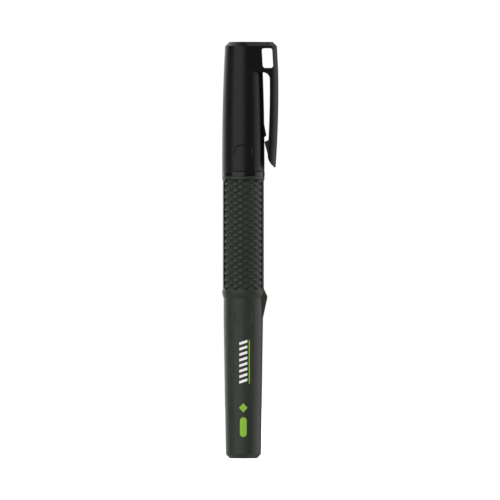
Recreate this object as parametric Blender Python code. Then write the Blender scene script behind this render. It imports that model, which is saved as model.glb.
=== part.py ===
# Permanent marker with a clip cap, standing on its rear end.
# Metres, +Z along the marker towards the cap, +X towards the clip, origin at the middle of the rear end.
import bpy
import bmesh
from math import acos, asin, cos, pi, radians, sin, sqrt, tan
from mathutils import Matrix, Vector

# Gaps between pieces
PRESS_GAP = 0.00015        # moulded, pressed or rolled together
SEAT_GAP = 0.0003          # one piece resting on the next
SLIDE_GAP = 0.0002         # cap over nozzle

# Barrel, outside
BODY_RADIUS = 0.0070       # collars and cap rim, which are flush
COLLAR_DEPTH = 0.00055     # how far the tapered body lies below the collar
BODY_LENGTH = 0.0539       # rear end to the flare of the rear collar
BODY_TAPER_LENGTH = 0.0465
COLLAR_FLARE = 0.0016
COLLAR_BAND = 0.0013
COLLAR_EASE = 0.0004       # small cone from a collar down to the grip
FRONT_BAND = 0.0011
REAR_CHAMFER = 0.0013
REAR_SIDE_WALL = 0.00095
REAR_WALL = 0.0018

# Barrel, inside
GRIP_WALL = 0.0007         # left under the grip inlays, round the nozzle's plug
MOUTH_STEP = 0.0003        # from the mouth in to the reservoir bore
MOUTH_DEPTH = 0.0095

# Ramp on the barrel, in line with the clip
RAMP_WIDTH = 0.0034
RAMP_PROUD = 0.00097
RAMP_REAR_RUN = 0.0074
RAMP_FRONT_RUN = 0.0028
RAMP_PEAK_BELOW_GRIP = 0.0026
RAMP_FOOT_SINK = 0.0003    # ramp and catch start this far under the surface

# Grip
GRIP_LENGTH = 0.0362
GRIP_SINK = 0.00022        # grip surface below the collars
INLAY_THICKNESS = 0.0008
INLAY_HALF_ANGLE = radians(68)
INLAY_END_LAND = 0.0001    # smooth wall between an inlay and the cone of its collar
DIAMOND_ANGLE = radians(16.4)
DIAMOND_PITCH = 0.00215
DIAMOND_HEIGHT = 0.00035
DIAMOND_TOP_SHARE = 0.42   # flat top's share of the diamond's width

# Thumb scoops, on the barrel and on the cap
SCOOP_WIDTH = 0.0062
SCOOP_DEPTH = 0.0002
SCOOP_CORNER = 0.0016
SCOOP_BARREL_LENGTH = 0.0076
SCOOP_BARREL_LAND = 0.0012  # smooth between the scoop's foot and the collar
SCOOP_CAP_RISE = 0.0089    # cap rim to the top of the arch
SCOOP_CAP_LENGTH = 0.0056
SCOOP_RUNOUT = 0.0004

# Nozzle and nib
FLANGE_HEIGHT = 0.00135
FLANGE_PROUD = 0.00008
SEAT_HEIGHT = 0.0062
SEAT_BEAD = 0.00008        # rib that the cap snaps over
SEAT_BEAD_SLOPE = 0.0003   # height of the rib above and below its crest
NECK_LENGTH = 0.0110
NOSE_WALL = 0.00075        # round the nib
NOSE_LENGTH = 0.0042
NOSE_SLOPE = radians(41)
NOSE_LIP = 0.00056
NOSE_GROOVE = 0.0001
NOSE_CHAMFER = 0.0002
PLUG_WALL = 0.0009
NIB_RADIUS = 0.0018
NIB_REACH = 0.0051         # stands out of the nozzle
NIB_TIP_RADIUS = 0.00038
NIB_SINK = 0.0080          # reaches into the reservoir

# Ink reservoir
FILM_THICKNESS = 0.0002

# Cap
CAP_SEAM = 0.0002          # open line between the nozzle's ring and the cap's rim
CAP_LENGTH = 0.0434
CAP_STRAIGHT = 0.0071
CAP_NARROWING = 0.00087
CAP_WALL = 0.00115
CAP_TOP_WALL = 0.0010
CAP_END_WALL = 0.0016
CAP_CHAMFER = 0.0014
LINER_WALL = 0.0009
LINER_END_WALL = 0.0010

# Cap head and clip
HEAD_TOP_BAR = 0.0020
WINDOW_HEIGHT = 0.0064
BRIDGE_HEIGHT = 0.0016     # joins the clip to the cap below the window
WINDOW_POST = 0.00155
WINDOW_BACKING = 0.00015   # plastic left on the tube behind the window
WINDOW_CORNER = 0.00065
CLIP_LENGTH = 0.0422       # cap top to clip tip
CLIP_GAP = 0.0022
CLIP_THICKNESS = 0.00275
CLIP_NOSE_RADIUS = 0.00343
CLIP_BOW_DROP = 0.0170     # cap top to the widest point of the bowed arm
CLIP_BOW_RADIUS = 0.350
CLIP_ROOT_FILLET = 0.0022
CLIP_END_HEIGHT = 0.0044   # curved lead-in at the tip
CLIP_END_THICKNESS = 0.0003
CLIP_END_POWER = 2.3       # how sharply the lead-in curves
CLIP_TOOTH_WIDTH = 0.0044
CLIP_TOOTH_RISE = 0.0089   # clip tip to the tooth's upper edge
CLIP_TOOTH_HEIGHT = 0.0045
CLIP_TOOTH_NOSE = 0.0006   # upright tip of the tooth

# Ramp on the cap, above the clip's tooth
CATCH_WIDTH = 0.0034
CATCH_PROUD = 0.00066
CATCH_ABOVE_TOOTH = 0.0011
CATCH_RUN = 0.0047
CATCH_LIP = 0.0010

# How finely round shapes are divided
SEGMENTS = 48
ARC_STEPS = 5
BOW_STEPS = 10
MERGE_DISTANCE = 1e-7
SMOOTH_ANGLE = radians(28)
THROUGH = 0.002            # how far a cutter runs past what it cuts

# Sizes that follow from those above
GRIP_RADIUS = BODY_RADIUS - GRIP_SINK
GROOVE_RADIUS = GRIP_RADIUS - DIAMOND_HEIGHT
INLAY_BACK_RADIUS = GRIP_RADIUS - INLAY_THICKNESS
RECESS_RADIUS = INLAY_BACK_RADIUS - PRESS_GAP
MOUTH_RADIUS = RECESS_RADIUS - GRIP_WALL
BORE_RADIUS = MOUTH_RADIUS - MOUTH_STEP
FILM_RADIUS = BORE_RADIUS - PRESS_GAP
CORE_RADIUS = FILM_RADIUS - FILM_THICKNESS - PRESS_GAP
TAPER_RADIUS = BODY_RADIUS - COLLAR_DEPTH
REAR_RADIUS = BORE_RADIUS + REAR_SIDE_WALL

COLLAR_BAND_Z = BODY_LENGTH + COLLAR_FLARE
GRIP_Z = COLLAR_BAND_Z + COLLAR_BAND + COLLAR_EASE
GRIP_END_Z = GRIP_Z + GRIP_LENGTH
FRONT_BAND_Z = GRIP_END_Z + COLLAR_EASE
BARREL_LENGTH = FRONT_BAND_Z + FRONT_BAND
MOUTH_Z = BARREL_LENGTH - MOUTH_DEPTH

FLANGE_Z = BARREL_LENGTH + PRESS_GAP
SEAT_Z = FLANGE_Z + FLANGE_HEIGHT
RIM_Z = SEAT_Z + CAP_SEAM
CAP_TOP_Z = RIM_Z + CAP_LENGTH
CAP_SHOULDER_Z = CAP_TOP_Z - CAP_CHAMFER
SOCKET_RADIUS = BODY_RADIUS - CAP_WALL
LINER_BORE_RADIUS = BODY_RADIUS - CAP_NARROWING - CAP_TOP_WALL
LINER_RADIUS = LINER_BORE_RADIUS - PRESS_GAP
LINER_INNER_RADIUS = LINER_RADIUS - LINER_WALL
SEAT_RADIUS = SOCKET_RADIUS - SLIDE_GAP - SEAT_BEAD
NECK_RADIUS = LINER_INNER_RADIUS - SLIDE_GAP
NIB_CHANNEL_RADIUS = NIB_RADIUS + PRESS_GAP
NOSE_RADIUS = NIB_CHANNEL_RADIUS + NOSE_WALL
PLUG_RADIUS = MOUTH_RADIUS - PRESS_GAP
PLUG_Z = MOUTH_Z + SEAT_GAP
SHOULDER_Z = SEAT_Z + SEAT_HEIGHT
NECK_Z = SHOULDER_Z + SEAT_RADIUS - NECK_RADIUS
NECK_END_Z = NECK_Z + NECK_LENGTH
NOSE_Z = NECK_END_Z + (NECK_RADIUS - NOSE_RADIUS) / tan(NOSE_SLOPE)
NOSE_END_Z = NOSE_Z + NOSE_LENGTH
NIB_TIP_Z = NOSE_END_Z + NIB_REACH
SOCKET_Z = SHOULDER_Z + SEAT_GAP
SOCKET_END_Z = SOCKET_Z + SOCKET_RADIUS - LINER_BORE_RADIUS
CAP_CEILING_Z = CAP_TOP_Z - CAP_END_WALL
LINER_Z = max(SOCKET_END_Z, NECK_Z) + SEAT_GAP
LINER_END_Z = CAP_CEILING_Z - SEAT_GAP

CORE_END_Z = PLUG_Z - SEAT_GAP
CORE_Z = REAR_WALL + SEAT_GAP
NIB_REAR_Z = CORE_END_Z - NIB_SINK

WINDOW_END_Z = CAP_TOP_Z - HEAD_TOP_BAR
WINDOW_Z = WINDOW_END_Z - WINDOW_HEIGHT
BRIDGE_Z = WINDOW_Z - BRIDGE_HEIGHT
CLIP_TOP_Z = BRIDGE_Z - SEAT_GAP
CLIP_TIP_Z = CAP_TOP_Z - CLIP_LENGTH
CLIP_BOW_Z = CAP_TOP_Z - CLIP_BOW_DROP
CLIP_TOOTH_Z = CLIP_TIP_Z + CLIP_TOOTH_RISE
CATCH_Z = CLIP_TOOTH_Z + CATCH_ABOVE_TOOTH


def cap_radius(z):
    """Outside of the cap's tube: straight near the rim, then drawn in along an arc."""
    start = RIM_Z + CAP_STRAIGHT
    share = max(0.0, z - start) / (CAP_SHOULDER_Z - start)
    return BODY_RADIUS - CAP_NARROWING * share ** 2


def body_radius(z):
    """Outside of the barrel behind its rear collar."""
    share = min(1.0, (z - REAR_CHAMFER) / (BODY_TAPER_LENGTH - REAR_CHAMFER))
    return REAR_RADIUS + (TAPER_RADIUS - REAR_RADIUS) * share


CLIP_REACH = cap_radius(CLIP_BOW_Z) + CLIP_GAP + CLIP_THICKNESS


def clip_outer(z):
    """Outer edge of the bowed clip arm."""
    bow = z - CLIP_BOW_Z
    return CLIP_REACH - CLIP_BOW_RADIUS + sqrt(CLIP_BOW_RADIUS ** 2 - bow ** 2)


def clip_inner(z):
    """Inner face of the clip arm: filleted at its root, drawn out to a lead-in at its tip."""
    face = clip_outer(z) - CLIP_THICKNESS
    into_fillet = z - (BRIDGE_Z - CLIP_ROOT_FILLET)
    if into_fillet > 0:
        return face - CLIP_ROOT_FILLET + sqrt(CLIP_ROOT_FILLET ** 2 - into_fillet ** 2)
    below_end = CLIP_TIP_Z + CLIP_END_HEIGHT - z
    if below_end > 0:
        drawn_out = (below_end / CLIP_END_HEIGHT) ** CLIP_END_POWER
        return face + (CLIP_THICKNESS - CLIP_END_THICKNESS) * drawn_out
    return face


CLIP_HINGE = Vector(((clip_inner(CLIP_TOP_Z) + clip_outer(CLIP_TOP_Z)) / 2, 0, BRIDGE_Z - SEAT_GAP / 2))


def plastic(name, colour, roughness):
    """One moulded or fibrous material, with its colour in linear values."""
    material = bpy.data.materials.new(name)
    material.use_nodes = True
    shader = material.node_tree.nodes["Principled BSDF"]
    shader.inputs["Base Color"].default_value = (*colour, 1)
    shader.inputs["Roughness"].default_value = roughness
    shader.inputs["Metallic"].default_value = 0
    return material


def object_from(builder, name):
    """Turn a finished bmesh into an object in the scene."""
    bmesh.ops.remove_doubles(builder, verts=builder.verts, dist=MERGE_DISTANCE)
    bmesh.ops.dissolve_degenerate(builder, edges=builder.edges, dist=MERGE_DISTANCE)
    bmesh.ops.recalc_face_normals(builder, faces=builder.faces)
    mesh = bpy.data.meshes.new(name)
    builder.to_mesh(mesh)
    builder.free()
    made = bpy.data.objects.new(name, mesh)
    bpy.context.scene.collection.objects.link(made)
    return made


def turned(name, outline):
    """Spin a closed outline of (radius, height) points about the marker's axis."""
    builder = bmesh.new()
    points = [builder.verts.new((radius, 0, z)) for radius, z in outline]
    for first, second in zip(points, points[1:] + points[:1]):
        if first.co.x > 0 or second.co.x > 0:
            builder.edges.new((first, second))
    bmesh.ops.spin(
        builder,
        geom=[*builder.verts, *builder.edges],
        axis=(0, 0, 1),
        cent=(0, 0, 0),
        angle=2 * pi,
        steps=SEGMENTS,
        use_merge=True,
    )
    return object_from(builder, name)


def lofted(name, rings):
    """Skin a stack of rings with equal point counts, and close both ends."""
    builder = bmesh.new()
    loops = [[builder.verts.new(point) for point in ring] for ring in rings]
    for lower, upper in zip(loops, loops[1:]):
        for index, corner in enumerate(lower):
            following = (index + 1) % len(lower)
            builder.faces.new((corner, lower[following], upper[following], upper[index]))
    builder.faces.new(reversed(loops[0]))
    builder.faces.new(loops[-1])
    return object_from(builder, name)


def side_cut(name, outline, low_y, high_y):
    """Extrude an outline of (x, z) points along Y."""
    return lofted(name, [[(x, y, z) for x, z in outline] for y in (low_y, high_y)])


def rounded(outline, radius):
    """Replace each corner of an (x, z) outline by an arc."""
    points = []
    count = len(outline)
    for index, corner in enumerate(outline):
        here = Vector(corner)
        back = (Vector(outline[index - 1]) - here).normalized()
        ahead = (Vector(outline[(index + 1) % count]) - here).normalized()
        half_angle = acos(back.dot(ahead)) / 2
        centre = here + (back + ahead).normalized() * radius / sin(half_angle)
        first = here + back * radius / tan(half_angle) - centre
        turn = first.angle_signed(here + ahead * radius / tan(half_angle) - centre)
        for step in range(ARC_STEPS + 1):
            points.append(centre + Matrix.Rotation(-turn * step / ARC_STEPS, 2) @ first)
    return [(point.x, point.y) for point in points]


def combine(part, tool, operation):
    """Join a tool to a part, or cut it out of the part."""
    boolean = part.modifiers.new(tool.name, "BOOLEAN")
    boolean.operation = operation
    boolean.solver = "EXACT"
    boolean.object = tool
    tool.hide_render = True
    tool.display_type = "WIRE"


def remove_tools(part):
    """Take a part's modifiers away, with the tools that they use."""
    tools = [boolean.object for boolean in part.modifiers]
    part.modifiers.clear()
    for tool in tools:
        remove_tools(tool)
        bpy.data.objects.remove(tool)


def settle(part, material, origin=(0, 0, 0), parent=None):
    """Apply a part's cuts, shade it, give it its material and put its origin on its joint."""
    mesh = bpy.data.meshes.new_from_object(part.evaluated_get(bpy.context.evaluated_depsgraph_get()))
    remove_tools(part)
    mesh.name = part.name
    mesh.materials.clear()
    mesh.materials.append(material)
    mesh.transform(Matrix.Translation(-Vector(origin)))
    mesh.shade_smooth()
    mesh.set_sharp_from_angle(angle=SMOOTH_ANGLE)
    part.data = mesh
    part.location = origin
    bpy.context.view_layer.update()
    if parent:
        part.parent = parent
        part.matrix_parent_inverse = parent.matrix_world.inverted()


def scoop_cutters(name, end_z, foot_z, radius_at):
    """Front and back cutters for a thumb scoop, deepest at its round end and running out at its foot."""
    half = SCOOP_WIDTH / 2
    up = 1 if foot_z > end_z else -1
    past_z = foot_z + up * SCOOP_RUNOUT
    outline = rounded([(-half, end_z), (half, end_z), (half, past_z), (-half, past_z)][::up], SCOOP_CORNER)
    floor = []
    for z in (end_z - up * THROUGH, foot_z, past_z + up * THROUGH):
        floor.append((radius_at(z) - SCOOP_DEPTH * (foot_z - z) / (foot_z - end_z), z))
    cutters = []
    for side, label in ((-1, "front"), (1, "back")):
        reach = sorted((side * GRIP_RADIUS / 2, side * (BODY_RADIUS + THROUGH)))
        cutter = side_cut(f"{name}_{label}", outline, *reach)
        core = turned(f"{name}_{label}_floor", [(0, floor[0][1]), *floor, (0, floor[-1][1])])
        combine(cutter, core, "DIFFERENCE")
        cutters.append(cutter)
    return cutters


def lattice_angles(half_angle):
    """Angles of the crossing grooves over one inlay, from edge to edge."""
    columns = 2 * int(INLAY_HALF_ANGLE / DIAMOND_ANGLE)
    inner = [(index - (columns - 1) / 2) * DIAMOND_ANGLE for index in range(columns)]
    return [-half_angle, *inner, half_angle]


def lattice_heights(low_z, high_z):
    """Heights of the crossing grooves, half a diamond apart."""
    rows = 2 * round((high_z - low_z) / DIAMOND_PITCH)
    return [low_z + (high_z - low_z) * index / rows for index in range(rows + 1)]


def on_cylinder(radius, angle, z, side):
    """A point at an angle from the middle of the front (side -1) or the back (side 1)."""
    return Vector((-side * radius * sin(angle), side * radius * cos(angle), z))


def plate_border(last):
    """Corners round a plate whose four corners are cut off, as (column, level) steps."""
    border = [(column, 0) for column in range(1, last)]
    border += [(last, 1), (last, 2)]
    border += [(column, 3) for column in range(last - 1, 0, -1)]
    return border + [(0, 2), (0, 1)]


def plate_faces(builder, corners, last):
    """Cover such a plate with one upright face between neighbouring columns."""
    for column in range(last):
        left = (1, 2) if column == 0 else (0, 3)
        right = (1, 2) if column == last - 1 else (0, 3)
        keys = [(column, left[0]), (column + 1, right[0]), (column + 1, right[1]), (column, left[1])]
        builder.faces.new([corners[key] for key in keys])


def plate_corners(builder, radius, angles, heights, side):
    """Points round a plate on a cylinder, keyed by their place in its border."""
    levels = (heights[0], heights[1], heights[-2], heights[-1])
    return {
        (column, level): builder.verts.new(on_cylinder(radius, angles[column], levels[level], side))
        for column, level in plate_border(len(angles) - 1)
    }


def inlay_recess(name, side):
    """Cutter for the recess in the barrel that an inlay fills."""
    angles = lattice_angles(INLAY_HALF_ANGLE)
    heights = lattice_heights(GRIP_Z + INLAY_END_LAND, GRIP_END_Z - INLAY_END_LAND)
    last = len(angles) - 1
    border = plate_border(last)
    builder = bmesh.new()
    floor = plate_corners(builder, RECESS_RADIUS, angles, heights, side)
    lid = plate_corners(builder, BODY_RADIUS + THROUGH, angles, heights, side)
    for key, following in zip(border, border[1:] + border[:1]):
        builder.faces.new((floor[key], floor[following], lid[following], lid[key]))
    plate_faces(builder, floor, last)
    plate_faces(builder, lid, last)
    return object_from(builder, name)


def fan(builder, chain, low, high):
    """Join a chain of points to both ends of the edge beside it."""
    middle = len(chain) // 2
    for index, (first, second) in enumerate(zip(chain, chain[1:])):
        builder.faces.new((first, second, low if index < middle else high))
    builder.faces.new((chain[middle], high, low))


def diamond(builder, front, angles, heights, centre, side):
    """One flat-topped diamond between four crossings of the grooves."""
    column, row = centre
    steps = ((1, 0), (0, 1), (-1, 0), (0, -1))
    foot = [front[column + across, row + up] for across, up in steps]
    top = []
    for across, up in steps:
        angle = angles[column] + (angles[column + across] - angles[column]) * DIAMOND_TOP_SHARE
        z = heights[row] + (heights[row + up] - heights[row]) * DIAMOND_TOP_SHARE
        top.append(builder.verts.new(on_cylinder(GRIP_RADIUS, angle, z, side)))
    for index in range(len(steps)):
        following = (index + 1) % len(steps)
        builder.faces.new((foot[index], foot[following], top[following], top[index]))
    builder.faces.new(top)


def diamond_inlay(name, side):
    """Grip inlay: a curved plate with a lattice of diamonds in front and a plain back."""
    angles = lattice_angles(INLAY_HALF_ANGLE - PRESS_GAP / GRIP_RADIUS)
    land = INLAY_END_LAND + PRESS_GAP
    heights = lattice_heights(GRIP_Z + land, GRIP_END_Z - land)
    last = len(angles) - 1
    last_row = len(heights) - 1
    builder = bmesh.new()
    front = {}
    centres = []
    for column, angle in enumerate(angles):
        for row, z in enumerate(heights):
            on_edge = column in (0, last)
            on_end = row in (0, last_row)
            if on_edge and on_end:
                continue
            if (column + row) % 2 and not on_edge and not on_end:
                centres.append((column, row))
            else:
                front[column, row] = builder.verts.new(on_cylinder(GROOVE_RADIUS, angle, z, side))
    for centre in centres:
        diamond(builder, front, angles, heights, centre, side)
    for column in range(last):
        for row in range(last_row):
            cell = [(column, row), (column + 1, row), (column + 1, row + 1), (column, row + 1)]
            crossings = [key for key in cell if sum(key) % 2 == 0 and key in front]
            halves = [key for key in cell if sum(key) % 2 and key in front]
            if len(crossings) == 1 and len(halves) == 2:
                builder.faces.new([front[key] for key in (halves[0], crossings[0], halves[1])])
            elif len(crossings) == 2:
                for half in halves:
                    builder.faces.new([front[key] for key in (half, *crossings)])
    back = plate_corners(builder, INLAY_BACK_RADIUS, angles, heights, side)
    plate_faces(builder, back, last)
    for row, level in ((0, 0), (last_row, 3)):
        for column in range(1, last - 1):
            ahead = column + 1
            rim = (front[column, row], front[ahead, row])
            builder.faces.new((*rim, back[ahead, level], back[column, level]))
    for edge, beside in ((0, 1), (last, last - 1)):
        chain = [front[edge, row] for row in range(1, last_row)]
        fan(builder, chain, back[edge, 1], back[edge, 2])
        builder.faces.new((front[beside, 0], chain[0], back[edge, 1], back[beside, 0]))
        builder.faces.new((front[beside, last_row], chain[-1], back[edge, 2], back[beside, 3]))
    return object_from(builder, name)


def make_barrel():
    """Moulded tube: rear end, tapered body, collars, ramp, thumb scoops, grip recesses and bore."""
    barrel = turned("barrel", [
        (0, 0),
        (REAR_RADIUS - REAR_CHAMFER, 0),
        (REAR_RADIUS, REAR_CHAMFER),
        (TAPER_RADIUS, BODY_TAPER_LENGTH),
        (TAPER_RADIUS, BODY_LENGTH),
        (BODY_RADIUS, COLLAR_BAND_Z),
        (BODY_RADIUS, COLLAR_BAND_Z + COLLAR_BAND),
        (GRIP_RADIUS, GRIP_Z),
        (GRIP_RADIUS, GRIP_END_Z),
        (BODY_RADIUS, FRONT_BAND_Z),
        (BODY_RADIUS, BARREL_LENGTH),
        (0, BARREL_LENGTH),
    ])
    peak_z = GRIP_Z - RAMP_PEAK_BELOW_GRIP
    rear_z = peak_z - RAMP_REAR_RUN
    front_z = peak_z + RAMP_FRONT_RUN
    ramp = side_cut("ramp", [
        (BORE_RADIUS, rear_z),
        (body_radius(rear_z) - RAMP_FOOT_SINK, rear_z),
        (BODY_RADIUS + RAMP_PROUD, peak_z),
        (GRIP_RADIUS - RAMP_FOOT_SINK, front_z),
        (BORE_RADIUS, front_z),
    ], -RAMP_WIDTH / 2, RAMP_WIDTH / 2)
    combine(barrel, ramp, "UNION")
    foot_z = BODY_LENGTH - SCOOP_BARREL_LAND
    for cutter in scoop_cutters("barrel_scoop", foot_z - SCOOP_BARREL_LENGTH, foot_z, body_radius):
        combine(barrel, cutter, "DIFFERENCE")
    for side, label in ((-1, "front"), (1, "back")):
        combine(barrel, inlay_recess(f"recess_{label}", side), "DIFFERENCE")
    bore = turned("bore", [
        (0, REAR_WALL),
        (BORE_RADIUS, REAR_WALL),
        (BORE_RADIUS, MOUTH_Z - MOUTH_STEP),
        (MOUTH_RADIUS, MOUTH_Z),
        (MOUTH_RADIUS, BARREL_LENGTH + THROUGH),
        (0, BARREL_LENGTH + THROUGH),
    ])
    combine(barrel, bore, "DIFFERENCE")
    return barrel


def make_nozzle():
    """Nib holder: plug in the barrel, ring, seat for the cap, neck and stepped nose."""
    bead_z = (SEAT_Z + SHOULDER_Z) / 2
    lip_z = NOSE_END_Z - NOSE_LIP
    plug_inner = PLUG_RADIUS - PLUG_WALL
    return turned("nozzle", [
        (NIB_CHANNEL_RADIUS, NOSE_END_Z),
        (NOSE_RADIUS - NOSE_CHAMFER, NOSE_END_Z),
        (NOSE_RADIUS, NOSE_END_Z - NOSE_CHAMFER),
        (NOSE_RADIUS, lip_z),
        (NOSE_RADIUS - NOSE_GROOVE, lip_z - NOSE_GROOVE),
        (NOSE_RADIUS, NOSE_Z),
        (NECK_RADIUS, NECK_END_Z),
        (NECK_RADIUS, NECK_Z),
        (SEAT_RADIUS, SHOULDER_Z),
        (SEAT_RADIUS, bead_z + SEAT_BEAD_SLOPE),
        (SEAT_RADIUS + SEAT_BEAD, bead_z),
        (SEAT_RADIUS, bead_z - SEAT_BEAD_SLOPE),
        (SEAT_RADIUS, SEAT_Z),
        (BODY_RADIUS + FLANGE_PROUD, SEAT_Z),
        (BODY_RADIUS + FLANGE_PROUD, FLANGE_Z),
        (PLUG_RADIUS, FLANGE_Z),
        (PLUG_RADIUS, PLUG_Z),
        (plug_inner, PLUG_Z),
        (plug_inner, SEAT_Z),
        (NIB_CHANNEL_RADIUS, SEAT_Z + plug_inner - NIB_CHANNEL_RADIUS),
    ])


def make_nib():
    """Fibre rod with a bullet point."""
    point_power = 2 * NIB_REACH * NIB_TIP_RADIUS / NIB_RADIUS ** 2
    outline = [(0, NIB_REAR_Z), (NIB_RADIUS, NIB_REAR_Z)]
    for step in range(2 * ARC_STEPS + 1):
        share = sin(pi / 2 * step / (2 * ARC_STEPS))
        outline.append((NIB_RADIUS * sqrt(1 - share ** point_power), NOSE_END_Z + NIB_REACH * share))
    return turned("nib", outline)


def make_reservoir():
    """Fibre bundle with a socket for the nib's rod."""
    socket_z = NIB_REAR_Z - SEAT_GAP
    return turned("ink_reservoir", [
        (0, CORE_Z),
        (CORE_RADIUS, CORE_Z),
        (CORE_RADIUS, CORE_END_Z),
        (NIB_CHANNEL_RADIUS, CORE_END_Z),
        (NIB_CHANNEL_RADIUS, socket_z),
        (0, socket_z),
    ])


def make_film():
    """Film sleeve round the fibre bundle."""
    return turned("reservoir_film", [
        (FILM_RADIUS - FILM_THICKNESS, CORE_Z),
        (FILM_RADIUS, CORE_Z),
        (FILM_RADIUS, CORE_END_Z),
        (FILM_RADIUS - FILM_THICKNESS, CORE_END_Z),
    ])


def make_inner_cap():
    """Sealing cup that closes round the nozzle's neck."""
    return turned("inner_cap", [
        (LINER_INNER_RADIUS, LINER_Z),
        (LINER_RADIUS, LINER_Z),
        (LINER_RADIUS, LINER_END_Z),
        (0, LINER_END_Z),
        (0, LINER_END_Z - LINER_END_WALL),
        (LINER_INNER_RADIUS, LINER_END_Z - LINER_END_WALL),
    ])


HEAD_LEAN = asin((cap_radius(BRIDGE_Z) - CLIP_NOSE_RADIUS) / (clip_outer(BRIDGE_Z) - CLIP_NOSE_RADIUS))


def tube_ring(z):
    """Plan of the cap's tube."""
    turns = [2 * pi * index / SEGMENTS for index in range(SEGMENTS)]
    return [(cap_radius(z) * cos(turn), cap_radius(z) * sin(turn), z) for turn in turns]


def head_ring(z, top_z=None, inset=0):
    """Plan of the cap's head: the tube and the clip's round nose, joined by straight flanks."""
    nose_x = clip_outer(z) - CLIP_NOSE_RADIUS
    ring = []
    for index in range(SEGMENTS):
        turn = 2 * pi * index / SEGMENTS
        on_nose = cos(turn) > sin(HEAD_LEAN)
        radius = (CLIP_NOSE_RADIUS if on_nose else cap_radius(z)) - inset
        middle_x = nose_x if on_nose else 0
        ring.append((middle_x + radius * cos(turn), radius * sin(turn), top_z or z))
    return ring


def make_cap_shell():
    """Cap: drawn-in tube, head with a window behind the clip, catch, thumb scoops and hollow."""
    drawn_in_z = RIM_Z + CAP_STRAIGHT
    rings = [tube_ring(RIM_Z)]
    for step in range(ARC_STEPS + 1):
        rings.append(tube_ring(drawn_in_z + (BRIDGE_Z - drawn_in_z) * step / ARC_STEPS))
    rings += [head_ring(z) for z in (BRIDGE_Z, (BRIDGE_Z + CAP_SHOULDER_Z) / 2, CAP_SHOULDER_Z)]
    rings.append(head_ring(CAP_SHOULDER_Z, CAP_TOP_Z, CAP_CHAMFER))
    cap = lofted("cap_shell", rings)
    window = side_cut("window", rounded([
        (cap_radius(WINDOW_Z) + WINDOW_BACKING, WINDOW_Z),
        (clip_outer(WINDOW_Z) - WINDOW_POST, WINDOW_Z),
        (clip_outer(WINDOW_END_Z) - WINDOW_POST, WINDOW_END_Z),
        (cap_radius(WINDOW_END_Z) + WINDOW_BACKING, WINDOW_END_Z),
    ], WINDOW_CORNER), -BODY_RADIUS - THROUGH, BODY_RADIUS + THROUGH)
    combine(cap, window, "DIFFERENCE")
    catch_end_z = CATCH_Z + CATCH_RUN
    catch = side_cut("catch", [
        (SOCKET_RADIUS, CATCH_Z),
        (cap_radius(CATCH_Z) - RAMP_FOOT_SINK, CATCH_Z),
        (cap_radius(CATCH_Z) + CATCH_PROUD, CATCH_Z + CATCH_LIP),
        (cap_radius(catch_end_z) - RAMP_FOOT_SINK, catch_end_z),
        (SOCKET_RADIUS, catch_end_z),
    ], -CATCH_WIDTH / 2, CATCH_WIDTH / 2)
    combine(cap, catch, "UNION")
    arch_z = RIM_Z + SCOOP_CAP_RISE
    for cutter in scoop_cutters("cap_scoop", arch_z, arch_z - SCOOP_CAP_LENGTH, cap_radius):
        combine(cap, cutter, "DIFFERENCE")
    hollow = turned("hollow", [
        (0, RIM_Z - THROUGH),
        (SOCKET_RADIUS, RIM_Z - THROUGH),
        (SOCKET_RADIUS, SOCKET_Z),
        (LINER_BORE_RADIUS, SOCKET_END_Z),
        (LINER_BORE_RADIUS, CAP_CEILING_Z),
        (0, CAP_CEILING_Z),
    ])
    combine(cap, hollow, "DIFFERENCE")
    return cap


def clip_ring(z):
    """Section of the clip arm: flat inside, round outside, with the flanks of the cap's head."""
    nose_x = clip_outer(z) - CLIP_NOSE_RADIUS
    inner = clip_inner(z)
    flank_x = nose_x + CLIP_NOSE_RADIUS * sin(HEAD_LEAN)
    spread = pi / 2 - HEAD_LEAN
    edge_y = CLIP_NOSE_RADIUS * cos(HEAD_LEAN) + (flank_x - inner) * tan(HEAD_LEAN)
    if inner > flank_x:
        spread = acos((inner - nose_x) / CLIP_NOSE_RADIUS)
        edge_y = CLIP_NOSE_RADIUS * sin(spread)
    ring = [(inner, -edge_y, z)]
    for step in range(2 * ARC_STEPS + 1):
        turn = spread * (step / ARC_STEPS - 1)
        ring.append((nose_x + CLIP_NOSE_RADIUS * cos(turn), CLIP_NOSE_RADIUS * sin(turn), z))
    return ring + [(inner, edge_y, z)]


def make_clip():
    """Sprung arm of the clip, with a lead-in at its tip and a tooth against the cap."""
    end_z = CLIP_TIP_Z + CLIP_END_HEIGHT
    root_z = BRIDGE_Z - CLIP_ROOT_FILLET
    levels = [CLIP_TIP_Z + CLIP_END_HEIGHT * step / ARC_STEPS for step in range(ARC_STEPS)]
    levels += [end_z + (root_z - end_z) * step / BOW_STEPS for step in range(BOW_STEPS)]
    for step in range(ARC_STEPS + 1):
        levels.append(root_z + (CLIP_TOP_Z - root_z) * sin(pi / 2 * step / ARC_STEPS))
    clip = lofted("pocket_clip", [clip_ring(z) for z in levels])
    low_z = CLIP_TOOTH_Z - CLIP_TOOTH_HEIGHT
    tip_x = cap_radius(CLIP_TOOTH_Z) + SEAT_GAP
    embedded = CLIP_THICKNESS / 2
    tooth = side_cut("tooth", [
        (clip_inner(CLIP_TOOTH_Z) + embedded, CLIP_TOOTH_Z),
        (tip_x, CLIP_TOOTH_Z),
        (tip_x, CLIP_TOOTH_Z - CLIP_TOOTH_NOSE),
        (clip_inner(low_z), low_z),
        (clip_inner(low_z) + embedded, low_z),
    ], -CLIP_TOOTH_WIDTH / 2, CLIP_TOOTH_WIDTH / 2)
    combine(clip, tooth, "UNION")
    return clip


for old in list(bpy.data.objects):
    bpy.data.objects.remove(old)

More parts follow.
